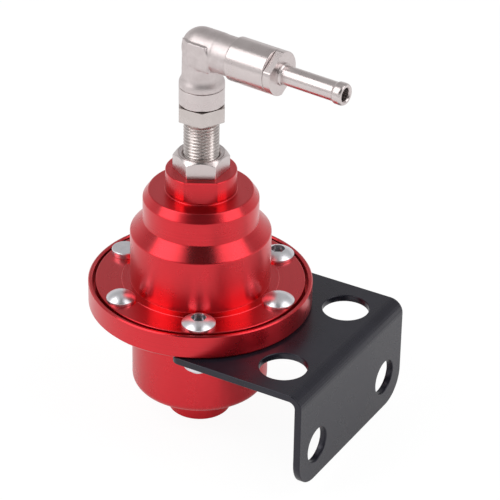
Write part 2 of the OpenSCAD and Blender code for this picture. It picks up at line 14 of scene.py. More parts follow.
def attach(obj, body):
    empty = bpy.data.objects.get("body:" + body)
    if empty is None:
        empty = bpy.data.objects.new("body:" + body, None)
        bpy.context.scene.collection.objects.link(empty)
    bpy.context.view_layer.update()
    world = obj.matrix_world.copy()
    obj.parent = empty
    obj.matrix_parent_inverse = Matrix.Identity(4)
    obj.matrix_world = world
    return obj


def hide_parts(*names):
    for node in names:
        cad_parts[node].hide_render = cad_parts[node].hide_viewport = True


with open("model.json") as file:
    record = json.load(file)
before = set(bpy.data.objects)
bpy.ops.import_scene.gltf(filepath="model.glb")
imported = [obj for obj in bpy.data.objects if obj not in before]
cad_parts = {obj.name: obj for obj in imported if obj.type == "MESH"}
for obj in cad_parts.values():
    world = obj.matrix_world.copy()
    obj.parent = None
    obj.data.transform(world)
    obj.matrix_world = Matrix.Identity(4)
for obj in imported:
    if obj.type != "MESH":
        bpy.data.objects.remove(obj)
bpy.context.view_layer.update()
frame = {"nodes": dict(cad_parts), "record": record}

MM = 0.001
TURN = 2 * np.pi
MERGE_DISTANCE = 2e-7  # metres, under which two points are one
SHARP_ANGLE = 33  # degrees, over which an edge stays sharp

# The housing: heights up the regulator's axis, and radii. They follow the part's source, apart from the drum's foot
FLANGE_Z, FLANGE_TOP = 35.5, 43.0
DISC_Z, DISC_R = 39.8, 29.9
DRUM_R, DRUM_TOP, DRUM_FILLET = 20.0, 59.0, 0.06
FOOT_R, FOOT_STEP = 22.35, 0.14
STEP_R, STEP_Z, STEP_TOP = 16.4, 62.8, 69.6
TOP_R, NECK_Z = 14.75, 72.0
NECK_R, NECK_TOP, NECK_LEDGE, NECK_FLAT = 10.05, 78.5, 72.6, 8.9
SPRING_BORE_R, GUIDE_BORE_R, GUIDE_TOP, TAPPED_R = 15.5, 12.0, 68.0, 5.05
FLATS_ANGLE = -60.0
PORT_R, PORT_Z, PORT_FACE, PORT_DEPTH = 4.4, 22.0, 18.4, 8.5
PORT_PITCH, PORT_THREAD_DEPTH, PORT_INSET = 0.94, 0.3, 0.2

# The adjuster and its locknut
NUT_TOP, NUT_FLATS = 83.6, 14.0
THREAD_R, THREAD_DEPTH, PITCH, THREAD_FADE = 5.0, 0.5, 1.0, 0.8
TIP_Z, TIP_R, TIP_LENGTH = 64.5, 3.5, 2.5
HEX_Z, HEX_TOP, HEX_FLATS, HEX_TURN = 94.6, 99.0, 12.6, 31.5
SPIGOT_R, SPIGOT_TOP, PASSAGE_R = 4.0, 107.0, 2.0

# The flange's fasteners; angles in degrees round the bolt circle
BOLT_CIRCLE_R, BOLT_R = 25.5, 2.5
SCREW_ANGLES, HEAD_R, HEAD_H, HEAD_RIM = (-60, 60), 4.75, 2.7, 0.8
RIVET_ANGLES, RIVET_RADII = (0, 120, 240), (4.6, 4.6, 4.15)
FLAT_ANGLE, FLAT_R, FLAT_H, FLAT_ROUND = 180, 3.8, 1.9, 0.35
SOCKET_FLATS, SOCKET_DEPTH, SOCKET_ROUNDING = 3.9, 1.8, 0.97
SHELF_UNDERSIDE, BOLT_NUT_H, BOLT_NUT_FLATS, BOLT_NUT_SLACK, BOLT_END = 33.4, 4.0, 8.0, 0.05, 1.2

# The elbow: heights on its leg, ways along its arm, its cheeks' plan, and the cubes and rounds that smooth it
ELBOW_Z, COLLAR_R, COLLAR_TOP, LEG_R, SOCKET_R, SOCKET_TOP = 99.2, 6.35, 104.25, 5.45, 4.2, 107.3
ARM_Z, ARM_ANGLE = 115.9, -5.5
ARM_R, NECK_ARM_R, ARM_TO, STUB_R, STUB_TO = 5.62, 5.5, 6.2, 4.4, 19.0
ARM_BORE_FROM, SLEEVE_GAP = 1.0, 0.02
CHEEK_W, CHEEK_LOW, CHEEK_TOP, CHEEK_CUT, CHEEK_RUN = 5.7, 111.4, 119.1, 2.4, 1.6
CHEEK_FRONT, CHEEK_BACK, CHEEK_BEND, CHEEK_INSIDE = 5.9, -4.0, -0.9, 4.3
CASTING_CUBE, CASTING_RELAX = 0.2, 6

# The sleeve and the hose nipple: ways along the arm and radii
SLEEVE_FROM, SLEEVE_TO, SLEEVE_R, SLEEVE_BORE_R = 11.6, 24.2, 6.2, 4.5
COLLAR_GAP, COLLAR_END, COLLAR_FLAT, COLLAR_TURN = 0.12, 26.7, 5.0, 33.5
ROOT_R, ROOT_FROM = 4.4, 20.2
TAIL_R, TAIL_END, BEAD_R, BEAD_FROM, TAIL_BORE_R = 2.7, 47.0, 3.1, 44.0, 1.85

# The camera that was fitted to the photograph: degrees, metres and the lens in millimetres
CAMERA_AZIMUTH, CAMERA_ELEVATION, CAMERA_ROLL = 29.71, 30.59, 1.04
CAMERA_PLACE = (0.32968, -0.54957, 0.43100)
CAMERA_LENS, CAMERA_SENSOR = 189.2, 36

# The studio, in metres: what the softboxes look at, their size and distance, and the floor's half width
MIDDLE = Vector((0.012, 0, 0.06))
SOFTBOX_DISTANCE, SOFTBOX_WIDTH, SOFTBOX_HEIGHT = 1.1, 0.75, 1.0
FLOOR_REACH = 6.0


def angles(columns):
    """Angles of a grid's columns, evenly spaced round a full turn."""
    return np.arange(columns) * TURN / columns


def round_axis(r, z):
    """Points at each radius and height of a grid, whose columns go evenly round the Z axis."""
    r, z = np.broadcast_arrays(r, z)
    angle = angles(r.shape[1])
    return np.stack([r * np.cos(angle), r * np.sin(angle), z], -1)


def turned(profile, columns=360):
    """A surface of revolution: each (radius, height) pair of the profile is carried round the Z axis."""
    r, z = np.asarray(profile, float).T[:, :, None]
    return round_axis(np.broadcast_to(r, (len(r), columns)), z)


def swung(x, y, z, degrees):
    """Points turned about the Z axis by an angle."""
    c, s = math.cos(math.radians(degrees)), math.sin(math.radians(degrees))
    return np.stack([c * x - s * y, s * x + c * y, z], -1)


def eased(corners, size=0.2, steps=4, support=0.12):
    """A closed outline whose corners are rounded: each corner becomes a quadratic curve between points set back
    along its two sides by the given size, with one more point a little further back on each side. Neither goes
    past a share of the shorter side, a little under a half."""
    p = np.asarray(corners, float)
    size = np.broadcast_to(np.asarray(size, float), len(p))[:, None]
    before, after = np.roll(p, 1, 0) - p, np.roll(p, -1, 0) - p
    reach = np.minimum(np.linalg.norm(before, axis=1), np.linalg.norm(after, axis=1))[:, None]
    before /= np.linalg.norm(before, axis=1, keepdims=True)
    after /= np.linalg.norm(after, axis=1, keepdims=True)
    back = np.minimum(size, 0.42 * reach)
    wide = np.minimum(back + support, 0.48 * reach)
    t = np.linspace(0, 1, steps + 1)[None, :, None]
    a, b, c = (p + before * back)[:, None], p[:, None], (p + after * back)[:, None]
    curve = (1 - t) ** 2 * a + 2 * t * (1 - t) * b + t ** 2 * c
    whole = np.concatenate([(p + before * wide)[:, None], curve, (p + after * wide)[:, None]], 1)
    return whole.reshape(-1, 2)


def hexagon_radius(angle, flats, turn, rounding=0.99):
    """Distance from the axis to a hexagon's edge at each angle: half its width over the cosine of the angle from the
    nearest flat's middle, held under a share of the corner radius so that corners are slightly rounded."""
    step = TURN / 6
    off = (angle - math.radians(turn) + step / 2) % step - step / 2
    return np.minimum(flats / 2 / np.cos(off), flats / 2 / math.cos(step / 2) * rounding)


def set_radius(grid, radius):
    """Moves points to a new distance from the Z axis, along the line from the axis."""
    r = np.maximum(np.hypot(grid[..., 0], grid[..., 1]), 1e-9)
    return np.concatenate([grid[..., :2] * (radius / r)[..., None], grid[..., 2:]], -1)


def milled_flats(grid, distance, turn, low, high):
    """Two opposite flats: between two heights the radius is at most the flat's distance from the axis over the
    cosine of the angle from the flat's middle."""
    r = np.hypot(grid[..., 0], grid[..., 1])
    angle = np.arctan2(grid[..., 1], grid[..., 0])
    limit = distance / np.maximum(np.abs(np.cos(angle - math.radians(turn))), 1e-6)
    inside = (grid[..., 2] > low) & (grid[..., 2] < high)
    return set_radius(grid, np.where(inside, np.minimum(r, limit), r))


def arc_points(x, z, r, start, end, steps=10):
    """Points on an arc about (x, z), evenly spaced in angle."""
    a = np.radians(np.linspace(start, end, steps + 1))
    return np.stack([x + r * np.cos(a), z + r * np.sin(a)], -1)


def along_arm(grid):
    """Lays a shape drawn along Z on the elbow's arm: Z becomes the way along the arm, X points down."""
    x, y, z = np.moveaxis(grid, -1, 0)
    return swung(z, y, ARM_Z - x, ARM_ANGLE)


def at_fastener(grid, angle):
    """Carries a shape drawn on the Z axis to a fastener's place on the bolt circle."""
    x, y, z = np.moveaxis(grid, -1, 0)
    return swung(x + BOLT_CIRCLE_R, y, z, angle)


def quads(rows, columns, wrap):
    """Corner numbers of the quads of a grid whose columns close on themselves, and its rows too where they wrap."""
    i, j = np.meshgrid(np.arange(rows if wrap else rows - 1), np.arange(columns), indexing="ij")
    k, n = (i + 1) % rows, (j + 1) % columns
    return np.stack([i * columns + j, i * columns + n, k * columns + n, k * columns + j], -1).reshape(-1, 4)


def add_object(name, data):
    """A new object in the scene, at the origin."""
    obj = bpy.data.objects.new(name, data)
    bpy.context.scene.collection.objects.link(obj)
    return obj


def piece(name, grids, material, body, slot, *nodes, wrap=True, extra=()):
    """Makes one object from grids of points in millimetres: the quads of each grid, with doubles merged and faces
    turned outwards. The rows of the extra grids don't wrap."""
    points, faces, start = [], [], 0
    for grid, closed in [(g, wrap) for g in grids] + [(g, False) for g in extra]:
        rows, columns = grid.shape[:2]
        points.append(grid.reshape(-1, 3))
        faces.append(quads(rows, columns, closed) + start)
        start += rows * columns
    mesh = bpy.data.meshes.new(name)
    mesh.from_pydata((np.concatenate(points) * MM).tolist(), [], np.concatenate(faces).tolist())
    work = bmesh.new()
    work.from_mesh(mesh)
    bmesh.ops.remove_doubles(work, verts=work.verts, dist=MERGE_DISTANCE)
    bmesh.ops.recalc_face_normals(work, faces=work.faces)
    work.to_mesh(mesh)
    work.free()
    mesh.polygons.foreach_set("use_smooth", np.ones(len(mesh.polygons), bool))
    mesh.set_sharp_from_angle(angle=math.radians(SHARP_ANGLE))
    mesh.materials.append(material)
    obj = add_object(name, mesh)
    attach(obj, body)
    if nodes:
        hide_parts(*nodes)
    return obj


def math_node(tree, operation, a, b=0.0):
    """A Math node's result; each input is a number or another node's output."""
    node = tree.nodes.new("ShaderNodeMath")
    node.operation = operation
    for socket, value in zip(node.inputs, (a, b)):
        if isinstance(value, (int, float)):
            socket.default_value = value
        else:
            tree.links.new(value, socket)
    return node.outputs[0]


class Finish:
    """A procedural material: a Principled shader with a few texture nodes on Object coordinates."""

    def __init__(self, name, colour, metallic, roughness, **sockets):
        self.material = bpy.data.materials.new(name)
        self.material.use_nodes = True
        self.tree = self.material.node_tree
        self.shader = self.tree.nodes["Principled BSDF"]
        self.shader.inputs["Base Color"].default_value = (*colour, 1)
        self.shader.inputs["Metallic"].default_value = metallic
        self.shader.inputs["Roughness"].default_value = roughness
        for socket, value in sockets.items():
            self.shader.inputs[socket.replace("_", " ")].default_value = value
        self.coordinates = self.add("ShaderNodeTexCoord").outputs["Object"]

    def add(self, kind, **settings):
        """A new node with its settings."""
        node = self.tree.nodes.new(kind)
        for key, value in settings.items():
            setattr(node, key, value)
        return node

    def link(self, output, target):
        """A link from one node's output to another's input."""
        self.tree.links.new(output, target)

    def math(self, operation, a, b=0.0):
        """The result of a Math node in this material's tree."""
        return math_node(self.tree, operation, a, b)

    def turned_coordinates(self, rotation=(0, 0, 0), place=(0, 0, 0)):
        """Distance from a turning axis and way along it, so that a pattern runs round the axis as tool marks do."""
        mapping = self.add("ShaderNodeMapping", vector_type="POINT")
        mapping.inputs["Location"].default_value = place
        mapping.inputs["Rotation"].default_value = rotation
        self.link(self.coordinates, mapping.inputs["Vector"])
        split = self.add("ShaderNodeSeparateXYZ")
        self.link(mapping.outputs[0], split.inputs[0])
        x, y, z = split.outputs
        radius = self.math("SQRT", self.math("ADD", self.math("MULTIPLY", x, x), self.math("MULTIPLY", y, y)))
        join = self.add("ShaderNodeCombineXYZ")
        self.link(radius, join.inputs[0])
        self.link(z, join.inputs[1])
        return join.outputs[0]

    def tool_marks(self, axis=(0, 0, 1), place=(0, 0, 0)):
        """Gloss stretched across fine rings that a lathe left: the tangent runs round the turning axis."""
        away = self.add("ShaderNodeVectorMath", operation="SUBTRACT")
        self.link(self.coordinates, away.inputs[0])
        away.inputs[1].default_value = place
        around = self.add("ShaderNodeVectorMath", operation="CROSS_PRODUCT")
        around.inputs[0].default_value = axis
        self.link(away.outputs[0], around.inputs[1])
        whole = self.add("ShaderNodeVectorTransform", vector_type="VECTOR", convert_from="OBJECT", convert_to="WORLD")
        self.link(around.outputs[0], whole.inputs[0])
        unit = self.add("ShaderNodeVectorMath", operation="NORMALIZE")
        self.link(whole.outputs[0], unit.inputs[0])
        self.link(unit.outputs[0], self.shader.inputs["Tangent"])

    def noise(self, vector, scale, detail=3.0, roughness=0.55):
        """Cloudy noise; the scale is its features to the metre."""
        node = self.add("ShaderNodeTexNoise")
        node.inputs["Scale"].default_value = scale
        node.inputs["Detail"].default_value = detail
        node.inputs["Roughness"].default_value = roughness
        self.link(vector, node.inputs["Vector"])
        return node.outputs["Fac"]

    def roughness(self, value, low, high, source=(0.3, 0.7)):
        """Roughness from low to high as a noise goes over the middle of its range."""
        node = self.add("ShaderNodeMapRange")
        for socket, number in zip(("From Min", "From Max", "To Min", "To Max"), (*source, low, high)):
            node.inputs[socket].default_value = number
        self.link(value, node.inputs["Value"])
        self.link(node.outputs["Result"], self.shader.inputs["Roughness"])

    def colours(self, value, stops):
        """Colour along a ramp of (place, colour) stops."""
        node = self.add("ShaderNodeValToRGB")
        ramp = node.color_ramp
        while len(ramp.elements) < len(stops):
            ramp.elements.new(0.5)
        for element, (position, colour) in zip(ramp.elements, stops):
            element.position = position
            element.color = (*colour, 1)
        self.link(value, node.inputs["Fac"])
        self.link(node.outputs["Color"], self.shader.inputs["Base Color"])

    def bump(self, value, strength, distance):
        """Small height in the surface; the distance is in metres."""
        node = self.add("ShaderNodeBump")
        node.inputs["Strength"].default_value = strength
        node.inputs["Distance"].default_value = distance
        self.link(value, node.inputs["Height"])
        self.link(node.outputs["Normal"], self.shader.inputs["Normal"])


# The gloss of turned metal is stretched a quarter turn from the tangent, which is across the tool's rings
ACROSS_RINGS = 0.25


def red_anodised(name="red_anodised", stretch=0.88, low=0.26, high=0.31):
    """Deep red dye over turned aluminium: fine rings from the tool stretch its gloss, under a thin clear layer."""
    f = Finish(name, (0.72, 0.010, 0.022), 1.0, low, Anisotropic=stretch, Anisotropic_Rotation=ACROSS_RINGS,
        Coat_Weight=0.6, Coat_Roughness=0.28, Coat_IOR=1.6)
    f.tool_marks()
    rings = f.noise(f.turned_coordinates(), 5200, 2.0)
    clouds = f.noise(f.coordinates, 160, 4.0)
    f.roughness(clouds, low, high)
    f.colours(rings, [(0.3, (0.68, 0.008, 0.018)), (0.7, (0.76, 0.012, 0.026))])
    return f.material


def nickel_turned(name, rotation=(0, 0, 0), place=(0, 0, 0), axis=(0, 0, 1), middle=(0, 0, 0)):
    """Warm nickel plate on turned brass, with rings left by the tool and a slight tarnish."""
    low, high = 0.25, 0.34
    f = Finish(name, (0.70, 0.65, 0.62), 1.0, low, Anisotropic=0.6, Anisotropic_Rotation=ACROSS_RINGS)
    f.tool_marks(axis, middle)
    rings = f.noise(f.turned_coordinates(rotation, place), 4200, 2.0)
    clouds = f.noise(f.coordinates, 260, 4.0)
    f.roughness(clouds, low, high)
    f.colours(clouds, [(0.2, (0.65, 0.575, 0.57)), (0.8, (0.74, 0.67, 0.66))])
    f.bump(rings, 0.02, 0.000006)
    return f.material


def nickel_thread():
    """The same plate on a fine thread, which is too fine to show tool marks, with faint clouds of tarnish."""
    f = Finish("nickel_thread", (0.66, 0.60, 0.58), 1.0, 0.24)
    clouds = f.noise(f.coordinates, 300, 3.0)
    f.roughness(clouds, 0.22, 0.3)
    f.colours(clouds, [(0.2, (0.60, 0.54, 0.52)), (0.8, (0.70, 0.64, 0.62))])
    return f.material


def nickel_cast():
    """Nickel plate over a tumbled casting: a grainy skin with soft dimples, duller than the turned pieces."""
    f = Finish("nickel_cast", (0.66, 0.61, 0.58), 1.0, 0.3)
    grain = f.noise(f.coordinates, 2600, 5.0, 0.65)
    dimples = f.noise(f.coordinates, 520, 3.0)
    f.roughness(grain, 0.36, 0.5)
    f.colours(dimples, [(0.25, (0.62, 0.55, 0.545)), (0.75, (0.72, 0.65, 0.645))])
    f.bump(f.math("ADD", f.math("MULTIPLY", grain, 0.5), dimples), 0.16, 0.00006)
    return f.material


def zinc_steel(name="zinc_steel", colour=(0.90, 0.89, 0.93), roughness=(0.27, 0.38)):
    """Bright plating on rolled steel: a fine satin grain and faint clouds."""
    f = Finish(name, colour, 1.0, roughness[0])
    grain = f.noise(f.coordinates, 3200, 4.0, 0.6)
    clouds = f.noise(f.coordinates, 420, 3.0)
    f.roughness(grain, *roughness)
    dark = tuple(0.86 * v for v in colour)
    f.colours(clouds, [(0.25, dark), (0.75, colour)])
    f.bump(grain, 0.05, 0.00003)
    return f.material


def black_paint():
    """Satin black coating on folded sheet: slight orange peel, faint scuffs that dull the gloss."""
    f = Finish("black_paint", (0.010, 0.010, 0.012), 0.0, 0.28, Specular_IOR_Level=0.5,
        Specular_Tint=(0.92, 0.89, 1.0, 1.0))
    peel = f.noise(f.coordinates, 1300, 3.0)
    scuffs = f.noise(f.coordinates, 90, 6.0, 0.7)
    f.roughness(scuffs, 0.23, 0.33)
    f.colours(scuffs, [(0.3, (0.009, 0.009, 0.014)), (0.55, (0.013, 0.013, 0.020)), (0.8, (0.020, 0.020, 0.028))])
    f.bump(peel, 0.1, 0.00006)
    return f.material


def plain_finish(name, colour, roughness):
    """A quiet finish for the soft pieces inside: a little grain in colour, gloss and surface."""
    f = Finish(name, colour, 0.0, roughness)
    grain = f.noise(f.coordinates, 1500, 4.0)
    f.roughness(grain, 0.85 * roughness, 1.15 * roughness)
    f.colours(grain, [(0.25, tuple(0.82 * v for v in colour)), (0.75, colour)])
    f.bump(grain, 0.15, 0.00005)
    return f.material


# The arm's turning axis lies along its length, so its tool marks run round that axis; the fine rings leave out the
# small angle between the arm and X
ARM_TURN = (0, -math.pi / 2, 0)
ARM_SHIFT = (ARM_Z * MM, 0, 0)
ARM_WAY = (math.cos(math.radians(ARM_ANGLE)), math.sin(math.radians(ARM_ANGLE)), 0)
RED = red_anodised()
RED_MILLED = red_anodised("red_milled", 0.0, 0.1, 0.16)
BLACK = black_paint()
ZINC = zinc_steel()
NICKEL = nickel_turned("nickel_turned")
NICKEL_ARM = nickel_turned("nickel_arm", ARM_TURN, ARM_SHIFT, ARM_WAY, (0, 0, ARM_Z * MM))
THREAD = nickel_thread()
CAST = nickel_cast()
FINISHES = {
    "red_anodised": RED, "black_paint": BLACK, "zinc_steel": ZINC, "nickel_turned": NICKEL, "nickel_cast": CAST,
    "fabric_rubber": plain_finish("fabric_rubber", (0.05, 0.05, 0.05), 0.7),
    "passivated_steel": zinc_steel("passivated_steel", (0.66, 0.6, 0.42)),
    "ball_steel": zinc_steel("ball_steel", (0.76, 0.76, 0.78), (0.06, 0.12)),
    "seat_brass": zinc_steel("seat_brass", (0.72, 0.53, 0.24)),
    "seal_rubber": plain_finish("seal_rubber", (0.03, 0.03, 0.03), 0.55),
    "spring_steel": zinc_steel("spring_steel", (0.35, 0.35, 0.37)),
    "gasket_fibre": plain_finish("gasket_fibre", (0.3, 0.18, 0.12), 0.8),
}
for part in frame["record"]["subparts"]:
    node = frame["nodes"][part["node"]]
    node.data.materials.clear()
    node.data.materials.append(FINISHES[part["material_slot"]])


def second_finish(obj, material, choose):
    """Gives a piece's chosen faces another finish; the choice is made from face normals, and face middles in mm."""
    mesh = obj.data
    mesh.materials.append(material)
    normal, middle = np.empty((2, len(mesh.polygons) * 3))
    mesh.polygons.foreach_get("normal", normal)
    mesh.polygons.foreach_get("center", middle)
    chosen = choose(normal.reshape(-1, 3), middle.reshape(-1, 3) / MM)
    mesh.polygons.foreach_set("material_index", chosen.astype(np.int32))


def bright_red(normal, middle):
    """Faces of the neck's two flats, and of the pad round the drum's foot, which shine more."""
    way = np.array([math.cos(math.radians(FLATS_ANGLE)), math.sin(math.radians(FLATS_ANGLE)), 0])
    flat = (np.abs(normal @ way) > 0.998) & (middle[:, 2] > NECK_Z) & (middle[:, 2] < NECK_TOP)
    pad = (np.abs(middle[:, 2] - FLANGE_TOP - FOOT_STEP) < 0.02) & (normal[:, 2] > 0.99)
    return flat | pad


def make_bonnet():
    """The stepped bonnet: one closed turned outline, outside and bore, with two flats milled on its neck. A low pad
    round the drum's foot ends in a small step down to the flange."""
    foot_z = FLANGE_TOP + FOOT_STEP
    foot = arc_points(DRUM_R + DRUM_FILLET, foot_z + DRUM_FILLET, DRUM_FILLET, 270, 180, 6)
    step = [(FOOT_R + 0.3, FLANGE_TOP), (FOOT_R + 0.14, FLANGE_TOP + 0.01), (FOOT_R + 0.04, foot_z - 0.03),
        (FOOT_R, foot_z)]
    corners = np.array([(SPRING_BORE_R, DISC_Z), (DISC_R, DISC_Z), (DISC_R, FLANGE_TOP), step[0], foot[-1],
        (DRUM_R, DRUM_TOP), (STEP_R, STEP_Z), (STEP_R, STEP_TOP), (TOP_R, NECK_Z), (NECK_R, NECK_Z),
        (NECK_R, NECK_TOP), (TAPPED_R, NECK_TOP), (TAPPED_R, GUIDE_TOP), (GUIDE_BORE_R, GUIDE_TOP),
        (GUIDE_BORE_R, DRUM_TOP - 1), (SPRING_BORE_R, DRUM_TOP - 1)])
    rounds = [.2, .25, .35, .05, .05, .3, .12, .2, .25, .3, .35, .3, .2, .2, .2, .2]
    outline = eased(corners, rounds)
    per = len(outline) // len(corners)
    outline = np.concatenate([outline[:3 * per], step, foot, outline[5 * per:]])
    neck = np.where((outline[:, 1] > NECK_Z + 0.3) & (outline[:, 0] > NECK_R - 1))[0][0]
    ledge = NECK_LEDGE + np.array([-0.2, -0.08, 0, 0.01, 0.1, 0.25])
    outline = np.concatenate([outline[:neck], np.stack([np.full_like(ledge, NECK_R), ledge], -1), outline[neck:]])
    grid = turned(outline, 480)
    flats = milled_flats(grid, NECK_FLAT, FLATS_ANGLE, NECK_LEDGE + 0.005, NECK_TOP + 1)
    shell = piece("bonnet_shell", [flats], RED, "housing", "red_anodised", "bonnet")
    second_finish(shell, RED_MILLED, bright_red)


def dome_height(r, edge):
    """Height of a round head's cap above the flange at a distance from its axis: part of a sphere on an upright rim."""
    rise = HEAD_H - HEAD_RIM
    ball = (edge ** 2 + rise ** 2) / (2 * rise)
    return HEAD_H - ball + np.sqrt(np.maximum(ball ** 2 - r ** 2, 0))


def flat_height(r, edge):
    """Height of a flat head's top above the flange: level, with a small round at the rim."""
    over = np.clip(r - (edge - FLAT_ROUND), 0, FLAT_ROUND)
    return FLAT_H - FLAT_ROUND + np.sqrt(FLAT_ROUND ** 2 - over ** 2)


def round_head(bottom, edge=HEAD_R, socket=False, top_height=dome_height, rim=HEAD_RIM):
    """A head on its shank: from the shank's end up its side, under the head, up the rim and over the top, which ends
    at the axis or goes down into a hexagon socket."""
    columns = 120
    shank = eased([(0.01, bottom), (BOLT_R, bottom), (BOLT_R, FLANGE_TOP), (edge, FLANGE_TOP),
        (edge, FLANGE_TOP + rim), (0.01, FLANGE_TOP + rim + 0.3)], [.05, .4, .1, .1, .12, .05])
    per = len(shank) // 6
    lower = turned(shank[1:4 * per + 2], columns)
    hexagon = hexagon_radius(angles(columns), SOCKET_FLATS, 0, SOCKET_ROUNDING) if socket else np.full(columns, 0.02)
    share = np.concatenate([np.linspace(0, 0.06, 4), np.linspace(0.09, 0.9, 26), np.linspace(0.915, 1, 8)])[::-1, None]
    r = hexagon * (1 - share) + (edge - 0.03) * share
    rows = [lower, round_axis(r, FLANGE_TOP + top_height(r, edge))]
    if socket:
        floor = FLANGE_TOP + HEAD_H - SOCKET_DEPTH
        mouth = FLANGE_TOP + float(dome_height(np.array(SOCKET_FLATS / 2), edge))
        steps = np.array([(1.0, mouth - 0.12), (1.0, floor + 0.1), (0.97, floor), (0.5, floor - 0.1),
            (0.0, floor - 0.25)])
        rows.append(round_axis(hexagon * SOCKET_ROUNDING * steps[:, :1], steps[:, 1:]))
    return np.concatenate(rows)


def make_fasteners():
    """Three plain round heads, a flat one and two screws with sockets, each set on the bolt circle."""
    end = SHELF_UNDERSIDE - BOLT_NUT_H - BOLT_END
    rivets = [at_fastener(round_head(FLANGE_Z, edge), a) for a, edge in zip(RIVET_ANGLES, RIVET_RADII)]
    rivets.append(at_fastener(round_head(FLANGE_Z, FLAT_R, False, flat_height, FLAT_H - FLAT_ROUND), FLAT_ANGLE))
    piece("round_rivets", rivets, ZINC, "housing", "zinc_steel", "flange_rivets", wrap=False)
    screws = [at_fastener(round_head(end, HEAD_R, True), a) for a in SCREW_ANGLES]
    screws = piece("socket_screws", screws, ZINC, "housing", "zinc_steel", "bracket_screws", wrap=False)
    # The faces inside the two sockets take the darker spring-steel finish as painted shade in the recess
    seats = np.radians(SCREW_ANGLES)[:, None, None]
    centres = BOLT_CIRCLE_R * np.concatenate([np.cos(seats), np.sin(seats)], -1)
    second_finish(screws, FINISHES["spring_steel"], lambda normal, middle: (middle[:, 2] > FLANGE_TOP)
        & (np.linalg.norm(middle[None, :, :2] - centres, axis=-1).min(0) < SOCKET_FLATS / 2 + 0.05))


def nut(flats, low, high, bore, turn, square_foot=False, columns=360):
    """A hexagon nut: the radius at each angle and height is the smaller of the hexagon's and a cone's that turns off
    the corners at the ends, closed by a countersunk bore. A square foot keeps its corners, with a fine bevel."""
    cone_angle, sink, bevel = 40, 0.7, 0.08
    face, slope = flats / 2 - 0.3, math.tan(math.radians(cone_angle))
    drop = (flats / 2 / math.cos(math.pi / 6) - face) * slope
    top = high - drop * np.linspace(1.15, 0, 18)
    foot = np.array([low, low + 0.02, low + 0.15, low + 0.4]) if square_foot else low + drop * np.linspace(0, 1.15, 18)
    z = np.concatenate([foot, top])
    hexagon = hexagon_radius(angles(columns), flats, turn)[None, :]
    cone = face + (high - z)[:, None] / slope
    if square_foot:
        hexagon = hexagon - np.maximum(0, bevel - (z - low))[:, None]
    else:
        cone = np.minimum(cone, face + (z - low)[:, None] / slope)
    outer = round_axis(np.minimum(hexagon, cone), z[:, None])
    inner = eased([(face - 0.4, high), (bore + sink, high), (bore, high - sink), (bore, low + sink),
        (bore + sink, low), (face - 0.4, low)], 0.08)
    return np.concatenate([outer, turned(inner, columns)])


def make_nuts():
    """The adjuster's locknut, its foot left square, and the two nuts under the bracket."""
    lock = nut(NUT_FLATS, NECK_TOP, NUT_TOP, TAPPED_R, 0, True)
    piece("lock_nut", [lock], NICKEL, "lock", "nickel_turned", "locknut")
    low, bore = SHELF_UNDERSIDE - BOLT_NUT_H, BOLT_R + BOLT_NUT_SLACK
    small = nut(BOLT_NUT_FLATS, low, SHELF_UNDERSIDE, bore, 0, columns=144)
    grids = [at_fastener(small, a) for a in SCREW_ANGLES]
    piece("shelf_nuts", grids, ZINC, "housing", "zinc_steel", "bracket_nuts")


def make_adjuster():
    """The adjuster from tip to spigot: a fine thread whose radius falls from crest to root with the distance from a
    helix, a plain hexagon and a spigot, closed by the passage down its axis."""
    columns, rows_a_turn = 120, 14
    angle = angles(columns)
    root_r, cone_top = THREAD_R - THREAD_DEPTH, TIP_Z + TIP_LENGTH + THREAD_R - TIP_R
    tip = eased([(PASSAGE_R, TIP_Z), (TIP_R, TIP_Z), (TIP_R, TIP_Z + TIP_LENGTH), (root_r, cone_top - 0.5)],
        [.05, .3, .2, .05])
    tip = turned(tip[1:-8], columns)
    z = np.arange(cone_top - 0.4, HEX_Z - 0.3, PITCH / rows_a_turn)
    phase = (z[:, None] / PITCH - angle[None, :] / TURN) % 1.0
    flank = np.clip(1.25 * np.abs(2 * phase - 1) - 0.08, 0, 1)
    fade = np.clip((HEX_Z - 0.5 - z) / THREAD_FADE, 0, 1) * np.clip((z - cone_top + 0.4) / THREAD_FADE, 0, 1)
    thread = round_axis(THREAD_R - THREAD_DEPTH * (1 - flank * fade[:, None]), z[:, None])
    bevel = np.array([(0.5, 0), (0.12, 0), (0.03, 0.03), (0, 0.12), (0, 0.4)])
    inset = np.concatenate([bevel[:, 0], bevel[::-1, 0]])
    level = np.concatenate([HEX_Z + bevel[:, 1], HEX_TOP - bevel[::-1, 1]])
    head = round_axis(hexagon_radius(angle, HEX_FLATS, HEX_TURN) - inset[:, None], level[:, None])
    root = turned([(root_r, HEX_Z - 0.25), (root_r, HEX_Z)], columns)
    spigot = turned([(SPIGOT_R, HEX_TOP), (SPIGOT_R, HEX_TOP + 0.2), (SPIGOT_R, SPIGOT_TOP - 0.3),
        (SPIGOT_R - 0.3, SPIGOT_TOP), (PASSAGE_R, SPIGOT_TOP), (PASSAGE_R, TIP_Z)], columns)
    whole = np.concatenate([tip, thread, root, head, spigot])
    piece("threaded_adjuster", [whole], THREAD, "adjuster", "nickel_turned", "adjuster_screw")


def make_sleeve():
    """The polished clamping sleeve: a short turned tube with eased rims."""
    corners = [(SLEEVE_BORE_R, SLEEVE_FROM), (SLEEVE_R, SLEEVE_FROM), (SLEEVE_R, SLEEVE_TO), (SLEEVE_BORE_R, SLEEVE_TO)]
    tube = turned(eased(corners, [.1, .45, .25, .1]), 240)
    piece("polished_sleeve", [along_arm(tube)], NICKEL_ARM, "elbow", "nickel_turned", "clamp_sleeve")


